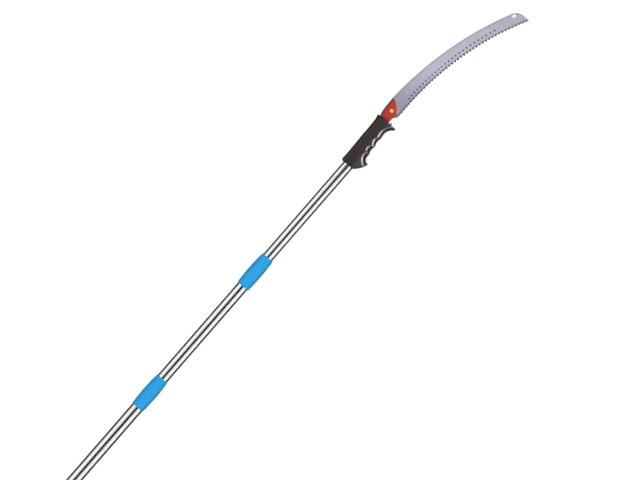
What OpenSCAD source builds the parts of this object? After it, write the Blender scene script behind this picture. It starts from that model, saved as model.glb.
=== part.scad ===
// Telescoping pole saw, lying drawn out: X runs up the pole from the butt to the blade,
// the blade lies flat with its teeth towards -Y, and the pole's axis is the X axis.

/* [Pole] */
// Outside diameter of the upper tube
upper_tube_d = 25.6; // [25:0.1:26]
// Growth in outside diameter from one tube to the next
tube_step = 1.5; // [1.4:0.05:1.6]
// Wall thickness of the tubes
tube_wall = 0.5; // [0.4:0.05:0.5]
// Length of the lower tube
lower_tube_len = 470; // [450:10:700]
// Bare tube between a lock nut and the next piece up the pole
bare_len = 275; // [200:5:275]
// Length of each tube that stays inside the next one, as drawn out here
overlap = 75; // [60:5:90]
// Length of the butt cap
cap_len = 46; // [40:1:60]
// Diameter of the hole that the pole hangs by
hang_hole_d = 8; // [6:0.5:9]

/* [Twist locks] */
// Length of a lock nut behind the mouth of the tube that it is on
nut_back_len = 46; // [44:1:50]
// Length of a lock nut in front of that mouth
nut_front_len = 40; // [38:1:44]
// Diameter of a lock nut at its middle
nut_d = 33.2; // [33:0.2:36]
// Diameter of a lock nut at its back end
nut_back_d = 30.8; // [30.6:0.2:32]
// Diameter of a lock nut at its front end
nut_front_d = 29.2; // [29:0.2:31]
// Diameter of the thread between nut and base
thread_d = 30.4; // [30.3:0.1:30.5]

/* [Handle] */
// Length of the handle
handle_len = 131; // [131:1:140]
// Thickness of the handle
handle_thick = 33.2; // [33:0.2:36]
// Thickness of the finger ridge
ridge_thick = 22; // [20:1:24]
// How far the thick part of the handle stands back from the finger grooves
finger_step = 9; // [7:0.5:10]
// Depth of the tube in the handle
tube_seat = 72; // [66:1:76]

/* [Saw] */
// Thickness of the blade
blade_thick = 1.3; // [1:0.1:1.5]
// Thickness of the ferrule's sheet steel
sheet_thick = 1.5; // [1.2:0.1:1.6]
// Pitch of the teeth
tooth_pitch = 8.2; // [6:0.2:10]
// Depth of the longest teeth
tooth_depth = 4.4; // [3:0.2:5]
// Pitch of the dimples
dimple_pitch = 9.9; // [8:0.1:12]
// Number of dimples on each face
dimple_count = 26; // [10:1:26]
// Depth of a dimple
dimple_depth = 0.3; // [0.1:0.05:0.4]

/* [Hidden] */
$fn = 96;

glued_gap = 0.03;     // between pieces of one body
running_gap = 0.05;   // between a piece and the one that it turns or slides in
thread_gap = 0.1;
loose_gap = 0.25;     // between a nut's ends and the tubes

upper_r = upper_tube_d / 2;
middle_r = upper_r + tube_step / 2;
lower_r = middle_r + tube_step / 2;
thread_r = thread_d / 2;

// Places along the pole. A mouth is the upper end of a tube, where its twist lock sits.
cap_wall = 18;
lower_mouth = cap_wall + lower_tube_len;
upper_mouth = lower_mouth + nut_front_len + bare_len + nut_back_len;
handle_x = upper_mouth + nut_front_len + bare_len;

bead_at = 11.5;       // the bead in a tube's lower end that holds its guide plug
bead_depth = 0.5;

// Turns a profile of [radius, x] points about the pole's axis
module turned(profile) rotate([0, 90, 0]) rotate_extrude() polygon(profile);

// A round bar along the pole from x0 to x1
module bar_x(r, x0, x1) translate([x0, 0, 0]) rotate([0, 90, 0]) cylinder(r = r, h = x1 - x0);

// Points on an arc about centre c
function arc(c, r, a0, a1, n) =
    [for (i = [0:n]) let (a = a0 + (a1 - a0) * i / n) c + r * [cos(a), sin(a)]];

// Points on a shallow arc from p to q that bulges to the right of that line by sag
function bow(p, q, sag, n) =
    let (
        half = norm(q - p) / 2,
        r = (half * half + sag * sag) / (2 * sag),
        way = (q - p) / (2 * half),
        side = [way[1], -way[0]],
        c = (p + q) / 2 - side * (r - sag),
        spread = asin(half / r),
        mid = atan2(side[1], side[0])
    )
    [for (i = [0:n]) let (a = mid - spread + 2 * spread * i / n) c + r * [cos(a), sin(a)]];

// ---- pole ----

// A tube from x0 to x1, with a bead near x0 if a guide plug snaps in there
module pole_tube(r, x0, x1, beaded) {
    inner = r - tube_wall;
    bead = beaded ? [for (s = [-1.4, -0.6, 0.6, 1.4])
        [x0 + bead_at + s, abs(s) < 1 ? bead_depth : 0]] : [];
    outside = [for (p = bead) [r - p[1], p[0]]];
    inside = [for (i = [len(bead) - 1:-1:0]) [inner - bead[i][1], bead[i][0]]];
    turned(concat([[r, x0]], outside, [[r, x1], [inner, x1]], inside, [[inner, x0]]));
}

cap_bevel = 2.2;      // round the cap's end face
cap_taper = 4;        // length of the slope from the cap down to the tube

module butt_cap() color("#26272a") difference() {
    r = nut_d / 2;
    turned([
        [0, 0], [r - cap_bevel, 0], [r, cap_bevel], [r, cap_len - cap_taper],
        [lower_r + 1, cap_len], [lower_r + glued_gap, cap_len], [lower_r + glued_gap, cap_wall], [0, cap_wall]
    ]);
    translate([cap_wall / 2, 0, -r - 1]) cylinder(d = hang_hole_d, h = 2 * r + 2);
}

module lower_tube() color("silver") pole_tube(lower_r, cap_wall, lower_mouth, false);

module middle_tube() color("silver") pole_tube(middle_r, lower_mouth - overlap, upper_mouth, true);

module upper_tube() color("silver") difference() {
    pole_tube(upper_r, upper_mouth - overlap, handle_x + tube_seat, true);
    translate([handle_x, 0, 0]) tube_pin_hole();
}

plug_flange = 8;      // length of a guide plug's flange, behind the tube's end
plug_spigot = 22;     // length of its spigot, inside the tube
plug_wall = 2.4;

// The plug in a tube's lower end: a flange that runs in the outer tube, and a grooved spigot
module guide_plug(tube_r, x0) {
    flange_r = tube_r + tube_step / 2 - tube_wall - running_gap;
    spigot_r = tube_r - tube_wall - running_gap;
    groove_r = spigot_r - bead_depth - 0.25;
    hollow_r = groove_r - plug_wall;
    groove = x0 + bead_at;
    bevel = 0.6;
    turned([
        [hollow_r, x0 - plug_flange], [flange_r - bevel, x0 - plug_flange],
        [flange_r, x0 - plug_flange + bevel], [flange_r, x0 - bevel],
        [flange_r - bevel / 2, x0 - 0.1], [spigot_r, x0 - 0.1], [spigot_r, groove - 1.8],
        [groove_r, groove - 1.6], [groove_r, groove + 1.6], [spigot_r, groove + 1.8],
        [spigot_r, x0 + plug_spigot - 1], [spigot_r - 1, x0 + plug_spigot], [hollow_r, x0 + plug_spigot]
    ]);
}

module middle_guide_plug() color("ivory") guide_plug(middle_r, lower_mouth - overlap);

module upper_guide_plug() color("ivory") guide_plug(upper_r, upper_mouth - overlap);

// ---- twist locks ----
// Each is on the mouth of an outer tube of radius outer_r, and clamps a tube of radius inner_r.

base_back = 26;       // how far the base reaches back over the outer tube
base_front = 8;       // and how far it stands in front of the mouth
lip = 3;              // length of the lip that stops the guide plug
cone_rise = 1;        // how much the base's mouth opens
ring_r = 14.65;       // radius of the clamp ring's middle
ring_start = 5;       // where the ring starts in the base's mouth
ring_step = 8.6;      // where it steps out to its full radius
ring_cone = 18;       // where the cone that the nut squeezes starts
ring_end = 25;
ring_slot = 2;        // width of the slot that lets the ring close
nut_travel = 2;       // room behind the base for the nut to screw up the pole

module lock_base(outer_r, inner_r, mouth) {
    lip_r = inner_r + running_gap;
    turned([
        [thread_r - 0.5, mouth - base_back], [thread_r, mouth - base_back + 0.5],
        [thread_r, mouth + base_front - 0.3], [thread_r - 0.3, mouth + base_front],
        [lip_r + cone_rise, mouth + base_front], [lip_r, mouth + lip], [lip_r, mouth],
        [outer_r + glued_gap, mouth], [outer_r + glued_gap, mouth - base_back]
    ]);
}

module clamp_ring(inner_r, mouth) {
    bore_r = inner_r + running_gap;
    function base_cone(x) = bore_r + cone_rise * (x - lip) / (base_front - lip) - running_gap;
    difference() {
        turned([
            [bore_r, mouth + ring_start], [base_cone(ring_start), mouth + ring_start],
            [base_cone(base_front), mouth + base_front], [base_cone(base_front), mouth + ring_step],
            [ring_r, mouth + ring_step], [ring_r, mouth + ring_cone],
            [inner_r + 0.5, mouth + ring_end], [bore_r, mouth + ring_end]
        ]);
        translate([mouth, -ring_slot / 2, 0]) cube([ring_end + 5, ring_slot, ring_r + 1]);
    }
}

// The nut's outside is a barrel: radius at a distance s from the nut's middle
function barrel_r(s) =
    let (half = (nut_back_len + nut_front_len) / 2, end_d = s < 0 ? nut_back_d : nut_front_d)
    nut_d / 2 - (nut_d - end_d) / 2 * pow(s / half, 2);

module lock_nut(outer_r, inner_r, mouth) {
    half = (nut_back_len + nut_front_len) / 2;
    back = mouth - nut_back_len;
    front = mouth + nut_front_len;
    mid = (back + front) / 2;
    steps = 8;
    rim = 0.6;
    shoulder = mouth - base_back - nut_travel;
    bore_r = thread_r + thread_gap;
    ring_bore_r = ring_r + thread_gap;
    turned(concat(
        [[barrel_r(-half) - rim, back]],
        [for (i = [-steps:steps]) let (s = i / steps * (half - rim)) [barrel_r(s), mid + s]],
        [
            [barrel_r(half) - rim, front], [inner_r + loose_gap, front],
            [inner_r + loose_gap, mouth + ring_end + 2],
            [inner_r + 0.5 + running_gap, mouth + ring_end + 0.1],
            [ring_bore_r, mouth + ring_cone + 0.1], [ring_bore_r, mouth + ring_step - 0.1],
            [bore_r, mouth + ring_step - 0.1], [bore_r, shoulder],
            [outer_r + loose_gap, shoulder], [outer_r + loose_gap, back]
        ]
    ));
}

module lower_lock_base() color("gainsboro") lock_base(lower_r, middle_r, lower_mouth);

module upper_lock_base() color("gainsboro") lock_base(middle_r, upper_r, upper_mouth);

module lower_clamp_ring() color("ivory") clamp_ring(middle_r, lower_mouth);

module upper_clamp_ring() color("ivory") clamp_ring(upper_r, upper_mouth);

module lower_lock_nut() color("#2d9bf0") lock_nut(lower_r, middle_r, lower_mouth);

module upper_lock_nut() color("#2d9bf0") lock_nut(middle_r, upper_r, upper_mouth);

// ---- handle ----
// The pieces of the saw head are drawn from the handle's bottom face, which is at handle_x.

handle_half = handle_thick / 2;

// Finger grooves as [centre, radius], from the bottom hook to the guard
grooves = [[[41.5, -31], 10.4], [[61.2, -34.1], 17], [[84, -33.3], 18], [[106, -38.5], 23]];

// The handle's side view before the grooves are cut
module handle_blank() polygon(concat(
    [[0, -12]], arc([4, 15.4], 4, 180, 90, 5),
    [[28, 19], [64, 20.2], [109, 20.7], [121, 21.6], [127, 23.2], [handle_len - 0.6, 23.6]],
    [[handle_len, 23], [handle_len, -27.4], [129.2, -28.6], [127, -28.2], [98, -16.95], [45, -20.9]],
    [[32.5, -33], [30.2, -33], [26, -31.8], [18.5, -28.2], [9.5, -21.9], [3.6, -16.6]]
));

// The side view with the grooves cut, step mm wider than the fingers' own
module handle_outline(step) difference() {
    handle_blank();
    for (g = grooves) translate(g[0]) circle(r = g[1] + step);
}

// Extrudes an outline of the handle, and rounds it with a section of [y, z] points
module shaped(section) intersection() {
    linear_extrude(2 * handle_thick, center = true) children();
    translate([-1, 0, 0]) rotate([90, 0, 90]) linear_extrude(handle_len + 20) polygon(concat(
        section, [for (i = [len(section) - 1:-1:0]) [section[i][0], -section[i][1]]]
    ));
}

function edge_section(y0, low) = concat(
    [[y0, low]], [[-20, handle_half - 4], [-12, handle_half - 1.4], [-7, handle_half]],
    arc([12, handle_half - 9], 9, 90, 0, 6), [[26, handle_half - 9]]
);

module nib() polygon([[handle_len - 1, -9.6], [136.2, -11.3], [136.2, -12.9], [handle_len - 1, -14.4]]);

module handle_solid() {
    ridge = ridge_thick / 2;
    shaped(edge_section(-36, 9)) handle_outline(finger_step);
    shaped([[-36, 7], [-28, 8.4], [-20, 10.2], [-14, ridge], [26, ridge - 4]]) handle_outline(0);
    translate([0, 0, -2.5]) linear_extrude(5) nib();
}

// Places of the screws, the pins and the rivets on the saw head
screw_places = [[14, 16], [20, -21], [104, 16.2], [122, -15]];
tube_pin_at = [58, 0];
tang_pin_at = [92, 3.75];
heel_rivet_at = [112, 3.75];
blade_rivet_at = [156.2, 5.6];

screw_r = 1.25;
screw_head_r = 2.3;
screw_seat = 8;       // depth of the screw heads' seat below the parting face
screw_reach = 8;      // how far the screws reach above it
pin_r = 2.5;
tube_pin_half = 14.4;
tang_pin_half = 9;

module tube_pin_hole() translate([tube_pin_at[0], tube_pin_at[1], -20]) cylinder(r = pin_r + glued_gap, h = 40);

// What the two shells leave free for the tube, the ferrule, the pins and the heel rivet
module handle_hollow() {
    bar_x(upper_r + glued_gap, -1, tube_seat + 0.5);
    translate([0, 0, -ferrule_half - glued_gap]) linear_extrude(2 * (ferrule_half + glued_gap))
        ferrule_room();
    pin_bore(tube_pin_at, tube_pin_half);
    pin_bore(tang_pin_at, tang_pin_half);
    translate([heel_rivet_at[0], heel_rivet_at[1], -5]) cylinder(r = 5.4, h = 10);
}

module pin_bore(place, half) translate([place[0], place[1], -half - 0.1])
    cylinder(r = pin_r + glued_gap, h = 2 * half + 0.2);

module half_space(up) translate([-10, -60, up ? 0 : -60]) cube([handle_len + 40, 120, 60]);

module handle_shell_face() color("#3c3434") translate([handle_x, 0, 0]) difference() {
    intersection() {
        handle_solid();
        half_space(true);
    }
    handle_hollow();
    for (p = screw_places) translate([p[0], p[1], -1]) cylinder(r = screw_r + glued_gap, h = screw_reach + 2);
}

module handle_shell_back() color("#3c3434") translate([handle_x, 0, 0]) difference() {
    intersection() {
        handle_solid();
        half_space(false);
    }
    handle_hollow();
    for (p = screw_places) translate([p[0], p[1], 0]) {
        translate([0, 0, -20]) cylinder(r = screw_r + 0.2, h = 21);
        translate([0, 0, -screw_seat - 20]) cylinder(r = screw_head_r + 0.15, h = 20);
    }
}

module handle_screws() color("dimgray") translate([handle_x, 0, 0])
    for (p = screw_places) translate([p[0], p[1], 0]) difference() {
        union() {
            translate([0, 0, -screw_seat - 0.1]) cylinder(r = screw_r, h = screw_seat + screw_reach);
            translate([0, 0, -screw_seat - 1.9]) cylinder(r = screw_head_r, h = 1.9);
        }
        for (a = [0, 90]) rotate(a) translate([-1.3, -0.3, -screw_seat - 2.5]) cube([2.6, 0.6, 1.6]);
    }

module tube_pin() color("silver") translate([handle_x + tube_pin_at[0], tube_pin_at[1], -tube_pin_half])
    cylinder(r = pin_r, h = 2 * tube_pin_half);

// ---- ferrule ----

ferrule_half = blade_thick / 2 + glued_gap + sheet_thick;

// The top edge of the ferrule, from the blade back to the handle
ferrule_top = [[183.8, 23.1], [166, 23], [152, 22.5], [142, 21.5], [136, 20.2], [131, 18.6]];

// The ferrule's side view
module ferrule_outline() polygon(concat(
    [[82, -4], [122, -4], [126, -6.3], [158.5, -6.8], [161.8, -6.2]],
    bow([163.6, -4.4], [183.8, 23.1], 2.4, 8),
    [for (i = [1:len(ferrule_top) - 1]) ferrule_top[i]],
    [[126, 17.6], [122, 11.5], [82, 11.5]]
));

// The room in the handle for the ferrule's tang
module ferrule_room() polygon([
    [81.5, -4.2], [121.8, -4.2], [125.8, -6.6], [140, -6.9], [140, 23], [131, 18.9], [125.8, 17.9],
    [121.8, 11.8], [81.5, 11.8]
]);

module ferrule() color("#c8352c") translate([handle_x, 0, 0]) difference() {
    translate([0, 0, -ferrule_half]) linear_extrude(2 * ferrule_half) ferrule_outline();
    slit = blade_thick / 2 + glued_gap;
    translate([0, 0, -slit]) linear_extrude(2 * slit) union() {
        translate([0, -sheet_thick]) ferrule_outline();
        translate([80, -20]) square([90, 24]);
        translate([80, 0]) square([10, 10]);
    }
    for (p = [heel_rivet_at, blade_rivet_at]) translate([p[0], p[1], -5])
        cylinder(r = rivet_r + glued_gap, h = 10);
    pin_bore(tang_pin_at, tang_pin_half);
}

module tang_pin() color("silver") translate([handle_x + tang_pin_at[0], tang_pin_at[1], -tang_pin_half])
    cylinder(r = pin_r, h = 2 * tang_pin_half);

// ---- blade ----

spine_centre = [152.8, -776.3];
spine_r = 800;
tip_x = 512.6;        // the blade's square end
tip_corner_r = 25;
tooth_centre = [183.8, -731.3];
tooth_line_r = 716.4; // the arc that the teeth's points lie on
first_tooth_x = 165;
last_tooth_x = tip_x - 2;
hang_slot_at = [498.4, -62.4];
hang_slot = [9.5, 5.6];
hang_slot_turn = -15;
rivet_r = 2.2;
rivet_head_r = 4.7;

// The rounded corner between spine and tip
corner_x = tip_x - tip_corner_r;
corner_turn = acos((corner_x - spine_centre[0]) / (spine_r - tip_corner_r));
corner = spine_centre + (spine_r - tip_corner_r) * [cos(corner_turn), sin(corner_turn)];
spine_start = acos((184.2 - spine_centre[0]) / spine_r);

tooth_first = acos((first_tooth_x - tooth_centre[0]) / tooth_line_r);
tooth_last = acos((last_tooth_x - tooth_centre[0]) / tooth_line_r);
tooth_count = floor((tooth_first - tooth_last) * PI / 180 * tooth_line_r / tooth_pitch);
tooth_turn = (tooth_first - tooth_last) / tooth_count;

// Teeth grow from both ends of the row to their full depth
function tooth_size(i) = tooth_depth * min(1, 0.45 + 0.12 * i, 0.5 + 0.1 * (tooth_count - 1 - i));

function on_tooth_arc(a, above) = tooth_centre + (tooth_line_r + above) * [cos(a), sin(a)];

// A tooth leans towards the handle, to cut on the pull
function tooth(i) = let (a = tooth_first - i * tooth_turn, d = tooth_size(i)) [
    on_tooth_arc(a - 0.04 * tooth_turn, d), on_tooth_arc(a - 0.36 * tooth_turn, 0),
    on_tooth_arc(a - 0.48 * tooth_turn, 0), on_tooth_arc(a - 0.9 * tooth_turn, d)
];

// The blade's heel lies under the ferrule's fold, with its lower corner showing below it
heel = [[184.2, 21.3], [166, 21.2], [152, 20.7], [142, 19.6], [136, 18], [131, 9.8], [102, 9.8],
    [102, -2.4], [134, -2.4], [144.5, -6.2], [153.5, -13.4], [163, -14.6]];

module blade_outline() polygon(concat(
    heel,
    [for (i = [0:tooth_count - 1]) for (p = tooth(i)) p],
    [on_tooth_arc(tooth_last, 0.3), [tip_x, on_tooth_arc(tooth_last, 0)[1] - 0.6]],
    arc(corner, tip_corner_r, 0, corner_turn, 8),
    arc(spine_centre, spine_r, corner_turn, spine_start, 28)
));

module blade() color("#bebbcd") translate([handle_x, 0, 0]) difference() {
    translate([0, 0, -blade_thick / 2]) linear_extrude(blade_thick) blade_outline();
    translate([0, 0, -2]) linear_extrude(4) translate(hang_slot_at) rotate(hang_slot_turn) {
        run = (hang_slot[0] - hang_slot[1]) / 2;
        square([2 * run, hang_slot[1]], center = true);
        for (s = [-run, run]) translate([s, 0]) circle(d = hang_slot[1]);
    }
    for (p = [heel_rivet_at, blade_rivet_at]) translate([p[0], p[1], -2])
        cylinder(r = rivet_r + glued_gap, h = 4);
    blade_dimples();
}

// A row of shallow dimples in each face, a little above the teeth
module blade_dimples() {
    ball_r = 4;
    row_start = acos((203 - tooth_centre[0]) / (tooth_line_r + 9.6));
    step = dimple_pitch / (tooth_line_r + 10) * 180 / PI;
    for (i = [0:dimple_count - 1]) for (face = [-1, 1]) {
        p = on_tooth_arc(row_start - i * step, 9.6 + 1.8 * i / dimple_count);
        translate([p[0], p[1], face * (blade_thick / 2 + ball_r - dimple_depth)]) sphere(r = ball_r);
    }
}

// A tubular rivet with a domed head on the face and a flat one on the back
module rivet(place) translate([handle_x + place[0], place[1], 0]) {
    seat = ferrule_half + glued_gap;
    rotate_extrude() polygon([
        [0, -seat - 0.9], [rivet_head_r - 0.9, -seat - 0.9], [rivet_head_r - 0.5, -seat],
        [rivet_r, -seat], [rivet_r, seat], [rivet_head_r, seat], [rivet_head_r, seat + 0.5],
        [rivet_head_r * 0.8, seat + 1.2], [rivet_head_r * 0.45, seat + 1.6], [0, seat + 1.7]
    ]);
}

module blade_rivet() color("#e6cc98") rivet(blade_rivet_at);

module heel_rivet() color("#e6cc98") rivet(heel_rivet_at);

butt_cap();
lower_tube();
lower_lock_base();
lower_clamp_ring();
lower_lock_nut();
middle_guide_plug();
middle_tube();
upper_lock_base();
upper_clamp_ring();
upper_lock_nut();
upper_guide_plug();
upper_tube();
handle_shell_face();
handle_shell_back();
handle_screws();
tube_pin();
ferrule();
tang_pin();
blade();
blade_rivet();
heel_rivet();
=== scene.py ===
import math

import bmesh
import bpy
import numpy as np
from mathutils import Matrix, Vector


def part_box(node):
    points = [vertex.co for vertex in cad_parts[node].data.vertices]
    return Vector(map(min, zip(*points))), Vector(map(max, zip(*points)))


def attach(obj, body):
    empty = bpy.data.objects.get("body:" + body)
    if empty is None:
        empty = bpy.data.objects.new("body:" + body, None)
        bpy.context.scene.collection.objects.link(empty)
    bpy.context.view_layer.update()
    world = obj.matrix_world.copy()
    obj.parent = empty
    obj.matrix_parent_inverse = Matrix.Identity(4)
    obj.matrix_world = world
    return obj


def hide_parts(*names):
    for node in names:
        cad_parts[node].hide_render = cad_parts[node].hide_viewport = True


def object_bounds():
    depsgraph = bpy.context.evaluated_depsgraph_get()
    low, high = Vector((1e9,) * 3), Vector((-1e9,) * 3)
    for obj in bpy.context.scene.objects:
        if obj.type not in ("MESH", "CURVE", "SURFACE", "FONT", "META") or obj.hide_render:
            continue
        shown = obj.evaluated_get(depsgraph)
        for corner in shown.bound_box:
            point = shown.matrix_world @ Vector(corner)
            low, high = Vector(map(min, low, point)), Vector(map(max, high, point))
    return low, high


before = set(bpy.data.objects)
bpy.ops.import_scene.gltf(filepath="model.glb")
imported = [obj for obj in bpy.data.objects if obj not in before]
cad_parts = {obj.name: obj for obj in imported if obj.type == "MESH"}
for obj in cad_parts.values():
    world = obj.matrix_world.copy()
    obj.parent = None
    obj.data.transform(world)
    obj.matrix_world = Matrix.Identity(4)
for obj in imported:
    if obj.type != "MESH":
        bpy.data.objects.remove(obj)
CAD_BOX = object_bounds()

bl_info = {
    "name": "Telescoping Pole Saw",
    "version": (1, 0, 0),
    "blender": (4, 5, 0),
    "location": "View3D > Sidebar > Pole Saw",
    "description": "Dresses the frame of a telescoping pole saw and sets up its studio",
    "category": "Object",
}

MM = 0.001
HANDLE_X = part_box("handle_shell_face")[0][0]
FLOOR_Z = CAD_BOX[0][2]


def set_out(point, z=0.0):
    """A place in the scene from (x, y) and z in millimetres off the middle of the handle's bottom face."""
    return (HANDLE_X + point[0] * MM, point[1] * MM, z * MM)


# The blade's arcs, in those millimetres
SPINE_CENTRE, SPINE_R = (152.8, -776.3), 800
TIP_X, TIP_CORNER_R = 512.6, 25
TOOTH_CENTRE, TOOTH_LINE_R = (183.8, -731.3), 716.4
FIRST_TOOTH_X, LAST_TOOTH_X = 165, TIP_X - 2
SPINE_PLACE, TOOTH_PLACE, HEEL_PLACE = map(set_out, (SPINE_CENTRE, TOOTH_CENTRE, (151, -9)))


def linear(hex_text):
    """An sRGB hex colour as the linear colour with alpha that shaders take."""
    parts = [int(hex_text[i:i + 2], 16) / 255 for i in (1, 3, 5)]
    return tuple(c / 12.92 if c <= 0.04045 else ((c + 0.055) / 1.055) ** 2.4 for c in parts) + (1.0,)


# ---- settings ----

def length(name, description, default):
    """A setting that is a distance in metres."""
    return bpy.props.FloatProperty(name=name, description=description, default=default, min=0,
                                   precision=5, subtype="DISTANCE", unit="LENGTH")


def colour(name, description, hex_text):
    """A setting that is a colour."""
    return bpy.props.FloatVectorProperty(name=name, description=description, default=linear(hex_text),
                                         size=4, min=0, max=1, subtype="COLOR")


class PoleSettings(bpy.types.PropertyGroup):
    tube_wall: length("Tube wall", "Wall thickness of the steel tubes", 0.5 * MM)
    bead_at: length("Bead place", "Distance of the guide plug's bead from a tube's lower end", 11.5 * MM)
    bead_depth: length("Bead depth", "Depth of the rolled bead", 0.5 * MM)
    steel: colour("Tube steel", "Colour of the polished tubes", "#dcdee0")
    lock_colour: colour("Lock nut", "Colour of the two twist locks", "#27b7ff")
    cap_colour: colour("Butt cap", "Colour of the butt cap", "#242529")
    cap_floor: length("Cap floor", "Thickness of the butt cap's closed end", 18 * MM)
    nut_rim: length("Nut rim", "Rounding at the two ends of a lock nut", 1.6 * MM)
    nut_crown: length("Nut crown", "How far a lock nut's middle stands out past its solid", 0.45 * MM)


class HandleSettings(bpy.types.PropertyGroup):
    cell: length("Cell", "Size of the cells that the handle is shaped in", 0.6 * MM)
    edge: length("Edge rounding", "Rounding between the handle's sides and faces", 5 * MM)
    grain: length("Grain", "Size of the moulded grain", 0.9 * MM)
    plastic: colour("Handle plastic", "Colour of the handle's two shells", "#322425")


class BladeSettings(bpy.types.PropertyGroup):
    pitch: length("Tooth pitch", "Distance from one tooth to the next", 8.2 * MM)
    depth: length("Tooth depth", "Depth of the longest teeth", 4.4 * MM)
    dimple_pitch: length("Dimple pitch", "Distance from one dimple to the next", 9.87 * MM)
    dimples: bpy.props.IntProperty(name="Dimples", description="Dimples on each face of the blade",
                                   default=26, min=1, max=40)
    bevel: length("Spine bevel", "Width of the ground bevel along the spine", 3.4 * MM)
    tip_bevel: length("Tip bevel", "Width of that bevel round the tip, where the slot needs room", 2.3 * MM)
    steel: colour("Blade steel", "Colour of the ground blade", "#cdcade")
    tooth_steel: colour("Tooth steel", "Colour of the hardened teeth", "#8b8896")
    paint: colour("Ferrule paint", "Colour of the ferrule's enamel", "#c72a0e")
    brass: colour("Rivet brass", "Colour of the rivet", "#ffcba8")


# ---- nodes and materials ----

NOISE_SPAN = {"From Min": 0.3, "From Max": 0.7}  # what nearly all of a noise lies between


def add_node(tree, kind, inputs=None, **settings):
    """Adds one node with its settings. An input is a value, an output to link, or a node whose
    first output in use is linked."""
    node = tree.nodes.new(kind)
    for key, value in settings.items():
        setattr(node, key, value)
    for key, value in (inputs or {}).items():
        if isinstance(value, bpy.types.Node):
            value = next(output for output in value.outputs if output.enabled)
        if isinstance(value, bpy.types.NodeSocket):
            tree.links.new(value, node.inputs[key])
        else:
            node.inputs[key].default_value = value
    return node


def emptied(owner):
    """The node tree of a new material or world, with nothing in it."""
    owner.use_nodes = True
    owner.node_tree.nodes.clear()
    return owner.node_tree


def material(name):
    """A new material, its tree, and the place on the object that its pattern follows."""
    made = bpy.data.materials.new(name)
    tree = emptied(made)
    return made, tree, add_node(tree, "ShaderNodeTexCoord").outputs["Object"]


def surfaced(made, surface, layers, roughness=None, relief=None):
    """Ends a material in its shader. layers is a colour and then (factor, colour) for each that lies
    over it, roughness is (noise, low, high), and relief is (height, depth, strength)."""
    tree, surface, colour = made.node_tree, dict(surface), layers[0]
    for factor, over in layers[1:]:
        colour = add_node(tree, "ShaderNodeMix", {0: factor, 6: colour, 7: over}, data_type="RGBA")
    surface["Base Color"] = colour
    if roughness:
        ends = dict(zip(("Value", "To Min", "To Max"), roughness))
        surface["Roughness"] = add_node(tree, "ShaderNodeMapRange", {**ends, **NOISE_SPAN})
    if relief:
        bump = dict(zip(("Height", "Distance", "Strength"), relief))
        surface["Normal"] = add_node(tree, "ShaderNodeBump", bump)
    shader = add_node(tree, "ShaderNodeBsdfPrincipled", surface)
    add_node(tree, "ShaderNodeOutputMaterial", {"Surface": shader})
    return made


def stretched(tree, place, scale, detail):
    """Noise on a place that is scaled by (x, y, z), for grain with a direction."""
    mapped = add_node(tree, "ShaderNodeMapping", {"Vector": place, "Scale": scale})
    return add_node(tree, "ShaderNodeTexNoise", {"Vector": mapped, "Scale": 1.0, "Detail": detail})


def shade(rgba, factor):
    """The same colour, darker or lighter."""
    return tuple(min(1.0, c * factor) for c in rgba[:3]) + (1.0,)


# Polished stainless tube, drawn and then buffed lengthwise: bright mirror bands with fine
# lines along the pole. The lines are drawn 0.4 mm apart, coarser than the real buffing.
def buffed_stainless(steel):
    made, tree, place = material("buffed_stainless_tube")
    lines = stretched(tree, place, (6, 2400, 2400), 3.0)
    smears = stretched(tree, place, (9, 60, 60), 4.0)
    return surfaced(made, {"Metallic": 1.0}, [shade(steel, 0.95), (smears, steel)], (lines, 0.12, 0.2),
                    (lines, 0.01 * MM, 0.4))


# Injection-moulded plastic: even colour with a soft satin gloss and the slight ripple of a
# thick moulding.
def moulded_plastic(name, rgba, roughness, grain, depth):
    made, tree, place = material(name)
    ripple = stretched(tree, place, (40, 40, 40), 2.0)
    fine = stretched(tree, place, (1 / grain,) * 3, 2.0)
    return surfaced(made, {"IOR": 1.49}, [shade(rgba, 0.93), (ripple, rgba)],
                    (fine, roughness - 0.05, roughness + 0.08), (fine, depth, 0.5))


# Glass-filled nylon from a spark-eroded mould: brown-black with a fine leathery grain that
# breaks the highlight up, drawn coarser than the real 0.3 mm. It is polished on the slopes above
# the finger grooves, and it is darkened along its outline and over the finger ridge as painted shade.
def spark_grained_nylon(rgba, grain):
    made, tree, place = material("spark_grained_nylon")
    cells = add_node(tree, "ShaderNodeTexVoronoi", {"Vector": place, "Scale": 1 / grain})
    rubbed = stretched(tree, place, (25, 25, 25), 5.0)
    polished, painted_shade = (add_node(tree, "ShaderNodeAttribute", attribute_name=name).outputs["Fac"]
                        for name in ("polished", "painted_shade"))
    satin = add_node(tree, "ShaderNodeMapRange",
                     {"Value": rubbed, "To Min": 0.38, "To Max": 0.55, **NOISE_SPAN})
    worn_flat = add_node(tree, "ShaderNodeMix", {0: polished, 2: cells, 3: 0.5})
    surface = {"Roughness": add_node(tree, "ShaderNodeMix", {0: polished, 2: satin, 3: 0.2}), "IOR": 1.53,
               "Specular IOR Level": 0.35, "Coat Weight": polished, "Coat Roughness": 0.16, "Coat IOR": 1.7}
    # The last layer darkens the outline and the finger ridge: painted shade.
    layers = [shade(rgba, 0.82), (rubbed, shade(rgba, 1.1)), (painted_shade, shade(rgba, 0.2))]
    return surfaced(made, surface, layers, relief=(worn_flat, 0.05 * MM, 0.4))


# Zinc-plated fastener steel: grey metal with a faint yellowish bloom.
def zinc_plated():
    made, tree, place = material("zinc_plated_steel")
    bloom = stretched(tree, place, (300, 300, 300), 4.0)
    layers = [linear("#8f8f8c"), (bloom, linear("#c7c7c2"))]
    return surfaced(made, {"Metallic": 1.0}, layers, (bloom, 0.24, 0.4))
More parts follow.
